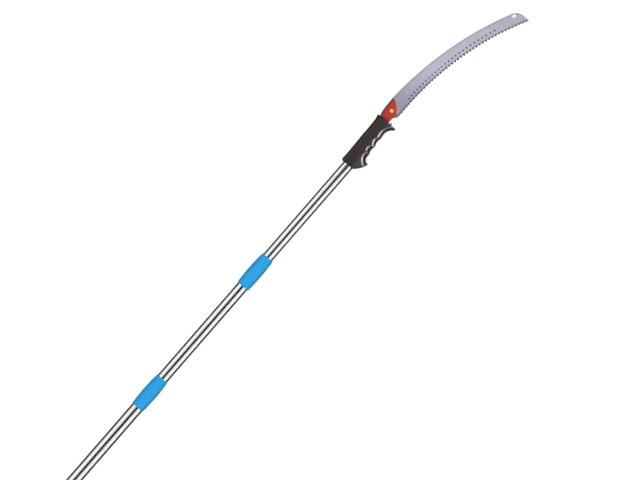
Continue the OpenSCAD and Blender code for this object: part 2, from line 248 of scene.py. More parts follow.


# Baked enamel on pressed sheet: deep gloss red with slight orange peel, and painted shade along the
# rounded fold at the spine, along the foot where the sheet meets the blade, and at the front corner.
# Along the cut edges the paint is worn to the bare grey steel.
def baked_enamel(paint):
    made, tree, place = material("baked_red_enamel")
    peel = stretched(tree, place, (700, 700, 700), 1.0)
    chips = stretched(tree, place, (900, 900, 900), 4.0)
    mottle = stretched(tree, place, (50, 50, 50), 3.0)
    cut, painted_shade = (add_node(tree, "ShaderNodeAttribute", attribute_name=name).outputs["Fac"]
                   for name in ("cut_edge", "painted_shade"))
    worn = add_node(tree, "ShaderNodeMath", {0: cut, 1: chips}, operation="ADD")
    bare = add_node(tree, "ShaderNodeMapRange", {"Value": worn, "From Min": 1.0, "From Max": 1.15})
    surface = {"Metallic": bare, "Roughness": 0.3, "IOR": 1.5, "Coat Weight": 0.25, "Coat Roughness": 0.12}
    # The dark layer is painted shade on the fold, the foot and the front corner.
    layers = [shade(paint, 0.88), (mottle, shade(paint, 1.08)), (painted_shade, shade(paint, 0.1)),
              (bare, linear("#b9b7bd"))]
    return surfaced(made, surface, layers, relief=(peel, 0.02 * MM, 0.35))


def round_centre(tree, place, centre):
    """Distance and angle of a place about a centre in the blade's plane."""
    away = add_node(tree, "ShaderNodeVectorMath", {0: place, 1: centre}, operation="SUBTRACT")
    flat = add_node(tree, "ShaderNodeVectorMath", {0: away, 1: (1, 1, 0)}, operation="MULTIPLY")
    parts = add_node(tree, "ShaderNodeSeparateXYZ", {0: flat}).outputs
    return (add_node(tree, "ShaderNodeVectorMath", {0: flat}, operation="LENGTH"),
            add_node(tree, "ShaderNodeMath", {0: parts[1], 1: parts[0]}, operation="ARCTAN2"))


# Spring steel, ground and satin-finished along its curve: cool grey with fine concentric
# grinding lines, drawn 0.5 mm apart. It is darkened by the ferrule as painted shade, darker and greyer
# towards the tip, dark along the roots of the teeth, from the heat that hardened them, and warm
# grey-brown at its heel.
def ground_spring_steel(name, rgba, contrast=0.12):
    made, tree, place = material(name)
    distance, angle = round_centre(tree, place, SPINE_PLACE)
    along_curve = add_node(tree, "ShaderNodeCombineXYZ", {0: distance, 1: angle})
    lines = stretched(tree, along_curve, (2000, 30, 1), 3.0)
    cloud = stretched(tree, place, (18, 18, 18), 4.0)
    along = add_node(tree, "ShaderNodeSeparateXYZ", {0: place})
    height = round_centre(tree, place, TOOTH_PLACE)[0]
    heel = add_node(tree, "ShaderNodeVectorMath", {0: place, 1: HEEL_PLACE}, operation="DISTANCE")
    line_r = TOOTH_LINE_R * MM
    keys = ("Value", "From Min", "From Max", "To Min", "To Max")
    # The first of these darkens the blade by the ferrule as painted shade; the second makes it darker and
    # greyer towards the tip; the last tints the heel warm grey-brown.
    ferrule_shade, toward_tip, root, point, heel_tint = (
        add_node(tree, "ShaderNodeMapRange", dict(zip(keys, row)), interpolation_type=kind)
        for kind, *row in (
            ("SMOOTHSTEP", along, HANDLE_X + 0.165, HANDLE_X + 0.3, 1.0, 0.0),
            ("LINEAR", along, HANDLE_X + 0.3, HANDLE_X + 0.53, 0.0, 1.0),
            ("LINEAR", height, line_r + 3.6 * MM, line_r + 5.6 * MM, 1.0, 0.0),
            ("LINEAR", height, line_r + 0.4 * MM, line_r + 2.6 * MM, 0.0, 1.0),
            ("LINEAR", heel, 5 * MM, 11 * MM, 0.8, 0.0)))
    heated = add_node(tree, "ShaderNodeMath", {0: root, 1: point}, operation="MINIMUM")
    layers = [shade(rgba, 1 - contrast), (lines, rgba), (ferrule_shade, shade(rgba, 0.6)), (cloud, shade(rgba, 0.96)),
              (toward_tip, shade(rgba, 0.72)), (heated, shade(rgba, 0.3)), (heel_tint, linear("#8d7f7b"))]
    return surfaced(made, {"Metallic": 1.0}, layers, (lines, 0.3, 0.42), (lines, 0.01 * MM, 0.3))


# Turned and peened brass, paled by a clear lacquer.
def lacquered_brass(rgba):
    made, tree, place = material("lacquered_brass")
    marks = stretched(tree, place, (500, 500, 500), 3.0)
    return surfaced(made, {"Metallic": 0.4}, [shade(rgba, 0.82), (marks, rgba)], (marks, 0.28, 0.46))


# ---- mesh helpers ----

def add_object(name, data):
    """A new object at the origin, in the scene."""
    made = bpy.data.objects.new(name, data)
    bpy.context.scene.collection.objects.link(made)
    return made


def mesh_piece(name, verts, faces, finish, sharp=30):
    """A new object at the origin from points in metres, smooth but for edges sharper than that angle."""
    mesh = bpy.data.meshes.new(name)
    mesh.from_pydata([tuple(map(float, v)) for v in verts], [], [tuple(map(int, f)) for f in faces])
    mesh.validate()
    mesh.materials.append(finish)
    mesh.polygons.foreach_set("use_smooth", [True] * len(mesh.polygons))
    mesh.set_sharp_from_angle(angle=math.radians(sharp))
    return add_object(name, mesh)


def outward(piece, sharp):
    """Merges a closed mesh's double points and turns every face outwards."""
    work = bmesh.new()
    work.from_mesh(piece.data)
    bmesh.ops.remove_doubles(work, verts=work.verts, dist=1e-7)
    bmesh.ops.recalc_face_normals(work, faces=work.faces)
    if work.calc_volume(signed=True) < 0:
        bmesh.ops.reverse_faces(work, faces=work.faces)
    work.to_mesh(piece.data)
    work.free()
    piece.data.set_sharp_from_angle(angle=math.radians(sharp))
    return piece


def lathed(profile, steps, loop=False):
    """Turns (radius, height) points about the Z axis: the points, ring by ring, and the faces
    between the rings. In a loop, faces join the last ring to the first."""
    turns = [2 * math.pi * i / steps for i in range(steps)]
    verts = [(r * math.cos(a), r * math.sin(a), h) for r, h in profile for a in turns]
    rings = [range(j * steps, (j + 1) * steps) for j in range(len(profile))]
    pairs = zip(rings, rings[1:] + rings[:1] if loop else rings[1:])
    return verts, [(a[i - 1], a[i], b[i], b[i - 1]) for a, b in pairs for i in range(steps)]


def turned(name, profile, finish, sharp=30):
    """Turns a closed profile of (x, radius) points in metres about the pole's axis."""
    verts, faces = lathed([(r, x) for x, r in profile], 144, True)
    return outward(mesh_piece(name, [(x, y, z) for y, z, x in verts], faces, finish, sharp), sharp)


def polygon_field(x, y, points):
    """Signed distance from (x, y) to a polygon, negative inside."""
    pts = np.asarray(points, float)
    nearest = np.full(np.broadcast(x, y).shape, np.inf)
    inside = np.zeros(nearest.shape, bool)
    for (ax, ay), (bx, by) in zip(pts, np.roll(pts, -1, axis=0)):
        ex, ey = bx - ax, by - ay
        wx, wy = x - ax, y - ay
        t = np.clip((wx * ex + wy * ey) / (ex * ex + ey * ey), 0, 1)
        nearest = np.minimum(nearest, (wx - ex * t) ** 2 + (wy - ey * t) ** 2)
        if ay != by:
            inside ^= ((ay > y) != (by > y)) & (x < ex * (y - ay) / (by - ay) + ax)
    return np.where(inside, -1, 1) * np.sqrt(nearest)


def cut_soft(a, b, k):
    """What two forms share, with the edge between them rounded by about k."""
    h = np.maximum(k - np.abs(a - b), 0) / k
    return np.maximum(a, b) + h * h * k / 4


def join_soft(a, b, k):
    """Two forms together, with a fillet of about k between them."""
    return -cut_soft(-a, -b, k)


def away_from(a, b, centre):
    """Distance of (a, b) from a centre."""
    return np.sqrt((a - centre[0]) ** 2 + (b - centre[1]) ** 2)


def grid(low, high, cell):
    """The x, y and z of a grid of cells, ready to broadcast."""
    axes = [np.arange(lo, hi + cell, cell) for lo, hi in zip(low, high)]
    return np.ix_(*axes)


def net_piece(name, field, low, cell, origin, finish, sharp=40, relax=1):
    """A mesh over the zero surface of a field on a grid: one point in each cell that the surface
    crosses, and one face for each grid edge that it crosses. low and cell are in millimetres.
    The points are then evened out: relax times, each moves to the mean of the faces round it."""
    field = np.asarray(field, np.float64)
    total = np.zeros(tuple(n - 1 for n in field.shape) + (3,))
    count = np.zeros(tuple(n - 1 for n in field.shape), int)
    crossings = []
    for axis in range(3):
        other = [a for a in range(3) if a != axis]
        start = field[tuple(slice(0, -1) if a == axis else slice(None) for a in range(3))]
        end = field[tuple(slice(1, None) if a == axis else slice(None) for a in range(3))]
        at = np.argwhere((start < 0) != (end < 0))
        here = tuple(at.T)
        point = at.astype(float)
        point[:, axis] += start[here] / (start[here] - end[here])
        around = []
        for da, db in ((1, 1), (0, 1), (0, 0), (1, 0)):
            cell_at = at.copy()
            cell_at[:, other[0]] -= da
            cell_at[:, other[1]] -= db
            np.add.at(total, tuple(cell_at.T), point)
            np.add.at(count, tuple(cell_at.T), 1)
            around.append(cell_at)
        leaving = start[here] < 0
        crossings.append((around, leaving if axis != 1 else ~leaving))
    used = count > 0
    number = np.full(count.shape, -1)
    number[used] = np.arange(used.sum())
    verts = (total[used] / count[used][:, None] * cell + np.asarray(low)) * MM + np.asarray(origin)
    faces = []
    for around, keep in crossings:
        quads = np.stack([number[tuple(c.T)] for c in around], axis=1)
        quads[~keep] = quads[~keep][:, ::-1]
        faces.append(quads)
    faces = np.concatenate(faces)
    for _ in range(relax):
        middles = verts[faces].mean(axis=1)
        total, count = np.zeros(verts.shape), np.zeros((len(verts), 1))
        for corner in faces.T:
            np.add.at(total, corner, middles)
            np.add.at(count, corner, 1)
        verts = total / count
    return mesh_piece(name, verts, faces, finish, sharp)


def made_plain(piece):
    """Keeps what a piece's modifier makes as its plain mesh, and takes the modifier off."""
    bpy.context.view_layer.update()
    graph = bpy.context.evaluated_depsgraph_get()
    mesh = bpy.data.meshes.new_from_object(piece.evaluated_get(graph), depsgraph=graph)
    piece.modifiers.clear()
    old, piece.data = piece.data, mesh
    bpy.data.meshes.remove(old)
    if not mesh.polygons:
        raise RuntimeError(f"{piece.name} came out of its modifier empty")
    return piece


def settled(piece, tree, values):
    """Runs a node tree on a piece and keeps the result as its plain mesh."""
    modifier = piece.modifiers.new("Tree", "NODES")
    modifier.node_group = tree
    for item in tree.interface.items_tree:
        if item.item_type == "SOCKET" and item.in_out == "INPUT" and item.name in values:
            modifier[item.identifier] = values[item.name]
    return made_plain(piece)


def node_tree(name, **sockets):
    """A geometry tree with named inputs. sockets maps a name to (socket type, default)."""
    tree = bpy.data.node_groups.new(name, "GeometryNodeTree")
    tree.interface.new_socket("Geometry", in_out="INPUT", socket_type="NodeSocketGeometry")
    for label, (kind, default) in sockets.items():
        made = tree.interface.new_socket(label, in_out="INPUT", socket_type=kind)
        if default is not None:
            made.default_value = default
    tree.interface.new_socket("Geometry", in_out="OUTPUT", socket_type="NodeSocketGeometry")
    return tree, add_node(tree, "NodeGroupInput").outputs


def close_tree(tree, geometry, finish):
    """Ends a tree in real, finished geometry."""
    real = add_node(tree, "GeometryNodeRealizeInstances", {"Geometry": geometry})
    add_node(tree, "NodeGroupOutput",
             {0: add_node(tree, "GeometryNodeSetMaterial", {"Geometry": real, "Material": finish})})


def dress(node, finish):
    """Gives a CAD node that keeps its own shape a better finish."""
    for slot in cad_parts[node].material_slots:
        slot.material = finish


def lit_by_grip_strip():
    """What the grip's own strip lights: the handle alone, because it would whiten the blade
    when that is seen from low behind."""
    return bpy.data.collections.get("lit_by_grip_strip") or bpy.data.collections.new("lit_by_grip_strip")


def stands_for(piece, body, slot, *nodes):
    """Attaches a finished piece to its body and hides the CAD nodes that it replaces."""
    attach(piece, body)
    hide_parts(*nodes)


# ---- the pole ----

def span(node):
    """Start, end and outer radius of a round node on the pole."""
    low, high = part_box(node)
    return low[0], high[0], high[1]


BEAD = [(-1.4, 0), (-0.9, 0.7), (-0.5, 1), (0.5, 1), (0.9, 0.7), (1.4, 0)]  # along it, share of its depth
TUBE_LIP = 0.15 * MM


def tube(name, node, settings, finish, beaded):
    """A tube with soft lips, and where it is beaded a groove rolled in near its lower end."""
    start, end, radius = span(node)
    inner, lip = radius - settings.tube_wall, TUBE_LIP
    bead = [(start + settings.bead_at + s * MM, settings.bead_depth * d) for s, d in BEAD * beaded]
    outside = [(start, radius - lip), (start + lip, radius)] + [(x, radius - d) for x, d in bead]
    outside += [(end - lip, radius), (end, radius - lip)]
    inside = [(end, inner)] + [(x, inner - d) for x, d in reversed(bead)] + [(start, inner)]
    return turned(name, outside + inside, finish)


NUT_BACK, NUT_FRONT = 1.5 * MM, 2.3 * MM  # how much thinner a nut's barrel is at its ends
NUT_GAP, RING_GAP = 0.25 * MM, 0.1 * MM  # round a tube, and round the lock base and its ring
# From the outer tube's mouth to where a nut's thread ends, and to where it narrows like a cone
NUT_STEP, NUT_CONE = 8.5 * MM, 18.1 * MM
CONE_GAP, CONE_START = 0.55 * MM, 0.1 * MM


def lock_nut(side, outer, inner, settings, finish):
    """A barrel nut with round ends, over the tube that it sits on and the tube that it clamps."""
    start, end, middle_r = span(f"{side}_lock_nut")
    base_start, _, thread_r = span(f"{side}_lock_base")
    _, ring_end, ring_r = span(f"{side}_clamp_ring")
    _, mouth, outer_r = span(outer)
    inner_r = span(inner)[2]
    half, middle = (end - start) / 2, (start + end) / 2
    rim, steps = settings.nut_rim, 14

    def barrel(s):
        thinner = NUT_BACK if s < 0 else NUT_FRONT
        return middle_r + settings.nut_crown - thinner * (s / half) ** 2

    def rounded(sign):
        turns = [math.radians(a) for a in (0, 22.5, 45, 67.5, 90)]
        base = barrel(sign * (half - rim)) - rim
        way = turns if sign > 0 else turns[::-1]
        return [(middle + sign * (half - rim + rim * math.sin(a)), base + rim * math.cos(a)) for a in way]

    body = [(middle + s, barrel(s)) for s in
            ((half - rim) * i / steps for i in range(-steps + 1, steps))]
    shoulder, step_at = base_start - 2 * MM, mouth + NUT_STEP
    over_ring, over_thread = ring_r + RING_GAP, thread_r + RING_GAP
    hollow = [
        (end, inner_r + NUT_GAP), (ring_end + 2 * MM, inner_r + NUT_GAP),
        (ring_end + CONE_START, inner_r + CONE_GAP), (mouth + NUT_CONE, over_ring),
        (step_at, over_ring), (step_at, over_thread),
        (shoulder, over_thread), (shoulder, outer_r + NUT_GAP), (start, outer_r + NUT_GAP),
    ]
    return turned(f"{side}_nut", rounded(-1) + body + rounded(1) + hollow, finish, sharp=35)


GRIP_RINGS = (24, 28, 32, 36)
CAP_TAPER = 6
HANG_HOLE_R = 4


def butt_cap(settings, finish):
    """The butt cap: a short cup with grip rings round it and a hole right through to hang it by."""
    start, end, radius = span("butt_cap")
    tube_r, floor = span("lower_tube")[2] / MM, settings.cap_floor / MM
    length_mm, r, cell = (end - start) / MM, radius / MM, 0.5
    low = (-2 * cell, -r - 2 * cell, -r - 2 * cell)
    x, y, z = grid(low, (length_mm + 2 * cell, r + 2 * cell, r + 2 * cell), cell)
    from_axis = away_from(y, z, (0, 0))
    taper = np.clip((x - (length_mm - CAP_TAPER)) / CAP_TAPER, 0, 1) * (r - tube_r - 1)
    rings = sum(np.maximum(0.7 - np.abs(x - at) * 0.7, 0) for at in GRIP_RINGS)
    body = cut_soft(cut_soft(from_axis - (r - taper - rings), -x, 4), x - length_mm, 1.5)
    body = np.maximum(body, -np.maximum(from_axis - tube_r - 0.03, floor - x))
    body = cut_soft(body, HANG_HOLE_R - away_from(x, y, (floor / 2, 0)), 1.2)
    return net_piece("butt_cap_moulding", body, low, cell, (start, 0, 0), finish)


class POLESAW_OT_tubes(bpy.types.Operator):
    """Make the three steel tubes of the pole"""
    bl_idname = "polesaw.tubes"
    bl_label = "Tubes"

    def execute(self, context):
        settings = context.scene.pole_settings
        finish = buffed_stainless(tuple(settings.steel))
        for name, node, body, beaded in (("lower_section", "lower_tube", "lower", False),
                                         ("middle_section", "middle_tube", "middle", True),
                                         ("upper_section", "upper_tube", "saw", True)):
            stands_for(tube(name, node, settings, finish, beaded), body, "tube_steel", node)
        return {"FINISHED"}


class POLESAW_OT_locks(bpy.types.Operator):
    """Make the two twist locks and finish the pieces inside them"""
    bl_idname = "polesaw.locks"
    bl_label = "Twist locks"

    def execute(self, context):
        settings = context.scene.pole_settings
        blue = moulded_plastic("moulded_polypropylene_blue", tuple(settings.lock_colour), 0.5, 0.8 * MM,
                               0.01 * MM)
        acetal = moulded_plastic("moulded_acetal_grey", linear("#d9dadb"), 0.4, 0.6 * MM, 0.01 * MM)
        nylon = moulded_plastic("moulded_nylon_ivory", linear("#e6dfc9"), 0.45, 0.6 * MM, 0.01 * MM)
        for side, outer, inner in (("lower", "lower", "middle"), ("upper", "middle", "upper")):
            nut = lock_nut(side, f"{outer}_tube", f"{inner}_tube", settings, blue)
            stands_for(nut, f"{side}_nut", "nut_plastic", f"{side}_lock_nut")
            dress(f"{side}_lock_base", acetal)
            dress(f"{side}_clamp_ring", nylon)
            dress(f"{inner}_guide_plug", nylon)
        return {"FINISHED"}


class POLESAW_OT_cap(bpy.types.Operator):
    """Make the butt cap"""
    bl_idname = "polesaw.cap"
    bl_label = "Butt cap"

    def execute(self, context):
        settings = context.scene.pole_settings
        finish = moulded_plastic("moulded_abs_black", tuple(settings.cap_colour), 0.45, 0.7 * MM, 0.02 * MM)
        stands_for(butt_cap(settings, finish), "lower", "cap_plastic", "butt_cap")
        return {"FINISHED"}


# ---- the handle ----
# Its forms are in millimetres from the middle of its bottom face.

HANDLE_BLANK = [
    (0, -12), (0, 15.4), (1.2, 18.2), (4, 19.4), (28, 19), (64, 20.2), (109, 20.7), (121, 21.6), (127, 23.2),
    (130.4, 23.6), (131, 23), (131, -27.4), (129.2, -28.6), (127, -28.2), (98, -16.95), (45, -20.9),
    (32.5, -33), (30.2, -33), (26, -31.8), (18.5, -28.2), (9.5, -21.9), (3.6, -16.6),
]
# The finger grooves in the outline, and the scallops that the thick body is cut back by above
# them: centre, radius and lift. The second one is lifted, to clear the tube inside.
GROOVES = [((41.5, -31), 10.4), ((61.2, -34.1), 17), ((84, -33.3), 18), ((106, -38.5), 23)]
SCALLOPS = [((41.5, -31), 20, 0), ((59, -22.8), 15.3, 2.4), ((82, -22.5), 15.5, 0), ((103.3, -47.8), 40.4, 0)]
BODY_SECTION = [(-40, 8), (-20, 12.6), (-12, 15.2), (-7, 16.6), (12, 16.6), (18, 14.8), (21, 7.6), (26, 7.6)]
RIDGE_SECTION = [(-36, 6.2), (-28, 7.4), (-20, 8.6), (-14, 9.2), (26, 7)]
# The slope round a scallop: (distance from its arc, height)
SLOPE = [(-60, -9), (-2.0, -9), (-2.0, 8.9), (-1.6, 9.6), (1.6, 11.3), (3.4, 17.4), (3.4, 40), (-60, 40)]
NIB = [(130, -9.6), (136.2, -11.3), (136.2, -12.9), (130, -14.4)]
FERRULE_ROOM = [
    (81.5, -4.2), (121.8, -4.2), (125.8, -6.6), (140, -6.9), (140, 23), (131, 18.9), (125.8, 17.9),
    (121.8, 11.8), (81.5, 11.8),
]
SCREW_PLACES = [(14, 16), (20, -21), (104, 16.2), (122, -15)]
SCREW_SEAT, COUNTERBORE_FLOOR, COUNTERBORE_R = -9.9, -8, 2.45
TUBE_SEAT, TUBE_BORE = 72.5, 12.83
NIB_HALF, FERRULE_HALF = 2.5, 2.18
POLISH_FROM = 8  # height over the handle's middle plane from which the slopes are polished


def mirrored(section):
    """A section of (y, z) points closed by its mirror image below."""
    return section + [(y, -z) for y, z in reversed(section)]


def handle_field(x, y, z, settings):
    """Signed distance to both shells together: a thick body and a thin finger ridge under it."""
    blank = polygon_field(x, y, HANDLE_BLANK)
    body = cut_soft(blank, polygon_field(y, z, mirrored(BODY_SECTION)), settings.edge / MM)
    ridge = blank
    for centre, radius in GROOVES:
        ridge = cut_soft(ridge, radius - away_from(x, y, centre), 3)
    for centre, radius, lift in SCALLOPS:
        slope = polygon_field(away_from(x, y, centre) - radius, np.abs(z) - lift, SLOPE)
        body = cut_soft(body, -slope, 0.8)
    ridge = cut_soft(ridge, polygon_field(y, z, mirrored(RIDGE_SECTION)), 3)
    whole = join_soft(body, ridge, 1.5)
    whole = join_soft(whole, cut_soft(polygon_field(x, y, NIB), np.abs(z) - NIB_HALF, 1), 1)
    bore = np.maximum(away_from(y, z, (0, 0)) - TUBE_BORE, x - TUBE_SEAT)
    room = np.maximum(polygon_field(x, y, FERRULE_ROOM), np.abs(z) - FERRULE_HALF - 0.03)
    return np.maximum(cut_soft(whole, -bore, 0.8), -room)


def fade(distance, full, gone):
    """1 at one distance and 0 at another, on a straight line."""
    return (gone - distance) / (gone - full)


def mark(piece, name, values):
    """Stores one number for each point of a piece, for its material to read."""
    data = piece.data.attributes.new(name, "FLOAT", "POINT")
    data.data.foreach_set("value", np.clip(values, 0, 1).astype(np.float32))


def local_points(piece):
    """The x, y and z of a piece's points, in millimetres from the middle of the handle's bottom face."""
    spots = np.empty(len(piece.data.vertices) * 3, np.float32)
    piece.data.vertices.foreach_get("co", spots)
    return ((spots.reshape(-1, 3).astype(float) - (HANDLE_X, 0, 0)) / MM).T


def mark_polish_and_shade(piece):
    """Marks the slope above the finger grooves, which the mould and the hand leave smooth, and
    the outline and the finger ridge, which are darkened as painted shade."""
    x, y, z = local_points(piece)
    beside = np.min([away_from(x, y, centre) - radius for centre, radius, _ in SCALLOPS], axis=0)
    from_outline = -polygon_field(x, y, HANDLE_BLANK)
    mark(piece, "polished", np.where(np.abs(z) > POLISH_FROM, fade(np.abs(beside), 1.68, 2.88), 0))
    # The outline and the finger ridge are darkened as painted shade.
    mark(piece, "painted_shade", np.maximum(fade(from_outline, 2.7, 4.2), fade(beside, -3.3, -1.8)))


def handle_shells(settings, finish):
    """The two shells, split where the mould parts, with counterbores for the screws in the back."""
    cell = settings.cell / MM
    low, high = (-1.5, -35, -18.3), (138, 25.5, 18.3)
    x, y, z = grid(low, high, cell)
    whole = handle_field(x, y, z, settings)
    back = cut_soft(whole, z, 0.7)
    for place in SCREW_PLACES:
        back = np.maximum(back, -np.maximum(away_from(x, y, place) - COUNTERBORE_R, z - COUNTERBORE_FLOOR))
    shells = [net_piece(name, field, low, cell, set_out((0, 0)), finish, relax=3)
              for name, field in (("handle_face", cut_soft(whole, -z, 0.7)), ("handle_back", back))]
    for shell in shells:
        mark_polish_and_shade(shell)
    return shells


def screw_blank(finish):
    """One screw with a crossed recess, head down at the origin, pointing up +Z."""
    steps = 24
    verts, faces = lathed([(2.3, 0), (2.3, 1.3), (1.25, 1.9), (1.25, 17.9), (0.9, 18.0)], steps)
    faces += [tuple(range(steps))[::-1], tuple(range(len(verts) - steps, len(verts)))]
    screw = mesh_piece("screw_blank", np.array(verts) * MM, faces, finish)
    recess = bpy.data.meshes.new("recess")
    work = bmesh.new()
    for wide, tall in ((2.6, 0.6), (0.6, 2.6)):
        made = bmesh.ops.create_cube(work, size=1)["verts"]
        bmesh.ops.scale(work, verts=made, vec=(wide * MM, tall * MM, 1.8 * MM))
    work.to_mesh(recess)
    work.free()
    tool = add_object("recess", recess)
    cut = screw.modifiers.new("Recess", "BOOLEAN")
    cut.object, cut.operation, cut.solver, cut.use_self = tool, "DIFFERENCE", "EXACT", True
    made_plain(screw)
    bpy.data.objects.remove(tool)
    return screw


def screws(finish):
    """Screws on the four places, from one blank."""
    blank = screw_blank(finish)
    piece = mesh_piece("handle_screw_set", [set_out(place, SCREW_SEAT) for place in SCREW_PLACES], [], finish)
    tree, given = node_tree("Screws", Screw=("NodeSocketObject", None), Scale=("NodeSocketFloat", 1.0))
    info = add_node(tree, "GeometryNodeObjectInfo", {"Object": given["Screw"], "As Instance": True})
    placed = add_node(tree, "GeometryNodeInstanceOnPoints", {
        "Points": given["Geometry"], "Instance": info.outputs["Geometry"], "Scale": given["Scale"]})
    close_tree(tree, placed, finish)
    settled(piece, tree, {"Screw": blank})
    bpy.data.objects.remove(blank)
    return piece


class POLESAW_OT_handle(bpy.types.Operator):
    """Make the two shells of the handle"""
    bl_idname = "polesaw.handle"
    bl_label = "Handle"

    def execute(self, context):
        settings = context.scene.handle_settings
        finish = spark_grained_nylon(tuple(settings.plastic), settings.grain)
        for side, shell in zip(("face", "back"), handle_shells(settings, finish)):
            lit_by_grip_strip().objects.link(shell)
            stands_for(shell, "saw", "handle_plastic", f"handle_shell_{side}")
        return {"FINISHED"}


class POLESAW_OT_fasteners(bpy.types.Operator):
    """Make the handle's screws and finish the cross pins"""
    bl_idname = "polesaw.fasteners"
    bl_label = "Screws and pins"

    def execute(self, context):
        finish = zinc_plated()
        stands_for(screws(finish), "saw", "fastener_steel", "handle_screws")
        dress("tube_pin", finish)
        dress("tang_pin", finish)
        return {"FINISHED"}


# ---- the ferrule ----

FERRULE_CORNER = (183.8, 23.1)
FERRULE_TOP = [FERRULE_CORNER, (166, 23), (152, 22.5), (142, 21.5), (136, 20.2), (131, 18.6)]
FERRULE_FOOT = [(82, -4), (122, -4), (126, -6.3), (158.5, -6.8), (161.8, -6.2)]
FERRULE_BACK = [(126, 17.6), (122, 11.5), (82, 11.5)]
FRONT_EDGE = ((163.6, -4.4), FERRULE_CORNER, 2.4)
SHEET = 1.5  # what the slit leaves of the fold along the top
SLIT_HALF = 0.68
TANG_END, TANG_TOP = 131, 4


def around(centre, radius, turn):
    """A point on a circle."""
    return (centre[0] + radius * math.cos(turn), centre[1] + radius * math.sin(turn))


def bow(p, q, sag, count):
    """Points on a shallow arc from p to q that bulges to the right of that line by sag."""
    p, q = np.array(p), np.array(q)
    half = np.linalg.norm(q - p) / 2
    radius = (half * half + sag * sag) / (2 * sag)
    way = (q - p) / (2 * half)
    side = np.array([way[1], -way[0]])
    centre = (p + q) / 2 - side * (radius - sag)
    reach, middle = math.asin(half / radius), math.atan2(side[1], side[0])
    return [around(centre, radius, middle - reach + 2 * reach * i / count) for i in range(count + 1)]


def ferrule(finish):
    """Folded sheet: closed and round along the top, open below and in front for the blade."""
    front = bow(*FRONT_EDGE, 12)
    outline = FERRULE_FOOT + front + FERRULE_TOP[1:] + FERRULE_BACK
    low, cell = (80.5, -8.5, -3), 0.35
    x, y, z = grid(low, (186, 25, 3), cell)
    top = polygon_field(x, y + FERRULE_HALF * 0.6, FERRULE_TOP + [(131, -20), (183.8, -20)])
    fold = np.sqrt(np.maximum(top + 0.2, 0) ** 2 + z * z) - FERRULE_HALF
    sheet = cut_soft(polygon_field(x, y, outline), np.abs(z) - FERRULE_HALF, 0.7)
    sheet = cut_soft(sheet, fold, 0.2)
    slit = np.minimum(polygon_field(x, y + SHEET, outline), np.maximum(x - TANG_END, y - TANG_TOP))
    sheet = np.maximum(sheet, -np.maximum(slit, np.abs(z) - SLIT_HALF))
    piece = net_piece("ferrule_fold", sheet, low, cell, set_out((0, 0)), finish, 50)
    x, y, _ = local_points(piece)
    to_edge = polygon_field(x, y, front + [(60, 60), (60, -60)])
    to_corner = away_from(x, y, (182.5, 22))
    mark(piece, "cut_edge", np.minimum(fade(np.abs(to_edge), 0.21, 1.61), fade(to_corner, 3, 0)))
    # The fold along the top, the foot and the front corner are darkened as painted shade.
    to_top = polygon_field(x, y, FERRULE_TOP + [(131, -60), (183.8, -60)])
    to_foot = polygon_field(x, y, FERRULE_FOOT + [(260, -6.2), (260, 200), (82, 200)])
    fold_and_foot_shade = np.maximum(fade(np.abs(to_top), 1.52, 5.32), fade(np.abs(to_foot), 0.36, 1.26))
    mark(piece, "painted_shade", np.maximum(fold_and_foot_shade, fade(to_corner, 1.04, 3.64)))
    return piece


class POLESAW_OT_ferrule(bpy.types.Operator):
    """Make the folded ferrule that holds the blade"""
    bl_idname = "polesaw.ferrule"
    bl_label = "Ferrule"

    def execute(self, context):
        finish = baked_enamel(tuple(context.scene.blade_settings.paint))
        stands_for(ferrule(finish), "saw", "ferrule_paint", "ferrule")
        return {"FINISHED"}


# ---- the blade ----

SLOT_AT, SLOT, SLOT_TURN = (498.4, -62.4), (9.5, 5.6), math.radians(-15)
HEEL = [
    (184.2, 21.3), (166, 21.2), (152, 20.7), (142, 19.6), (136, 18), (131, 9.8), (102, 9.8), (102, -2.4),
    (134, -2.4), (144.5, -6.2), (153.5, -13.4), (163, -14.6),
]
FIRST_DIMPLE_X = 203
DIMPLE_SPREAD = 0.09  # how far the pitch is under its mean at the ferrule, as a share
DIMPLE_ROW, DIMPLE_RISE = 10.0, 2.8  # the row's height over the tooth line, and its gain by the tip
DIMPLE_R, DIMPLE_STEPS = 2.05, 20
EDGE_BEVEL, HEEL_BEVEL = 0.12, 1.6  # widths; the ferrule hides where the second one starts
EDGE_DROP, BEVEL_DROP = 0.08, 0.32  # how far under the face the narrow and the wide bevels end
SLOT_RIM = 0.45
TOOTH_HALF = 0.64 * MM
# A tooth's outline on its full side and on its ground side, in shares of the pitch and the depth
TOOTH_FULL = [(0.02, 1.1), (0.02, 0.84), (0.34, 0.0), (0.52, 0.0), (0.94, 0.84), (0.94, 1.1)]
TOOTH_GROUND = [(0.02, 1.1), (0.14, 0.9), (0.39, 0.24), (0.47, 0.24), (0.76, 0.9), (0.94, 1.1)]
TOOTH_ENDS = (TOOTH_FULL[0][0], TOOTH_FULL[-1][0])
FIRST_TOOTH, TOOTH_GROWTH = 0.32, 0.03  # depth of the first tooth, and the gain of each after it
LAST_TOOTH, TIP_GROWTH = 0.36, 0.07  # and the same from the tip


def tooth_row(settings):
    """Angle of the first tooth, turn from one to the next, and their number."""
    first = math.acos((FIRST_TOOTH_X - TOOTH_CENTRE[0]) / TOOTH_LINE_R)
    last = math.acos((LAST_TOOTH_X - TOOTH_CENTRE[0]) / TOOTH_LINE_R)
    count = int((first - last) * TOOTH_LINE_R / (settings.pitch / MM))
    return first, (first - last) / count, count


def tooth_size(i, count):
    """Depth of a tooth as a share of the longest: they grow from both ends of the row."""
    return min(1, FIRST_TOOTH + TOOTH_GROWTH * i, LAST_TOOTH + TIP_GROWTH * (count - 1 - i))


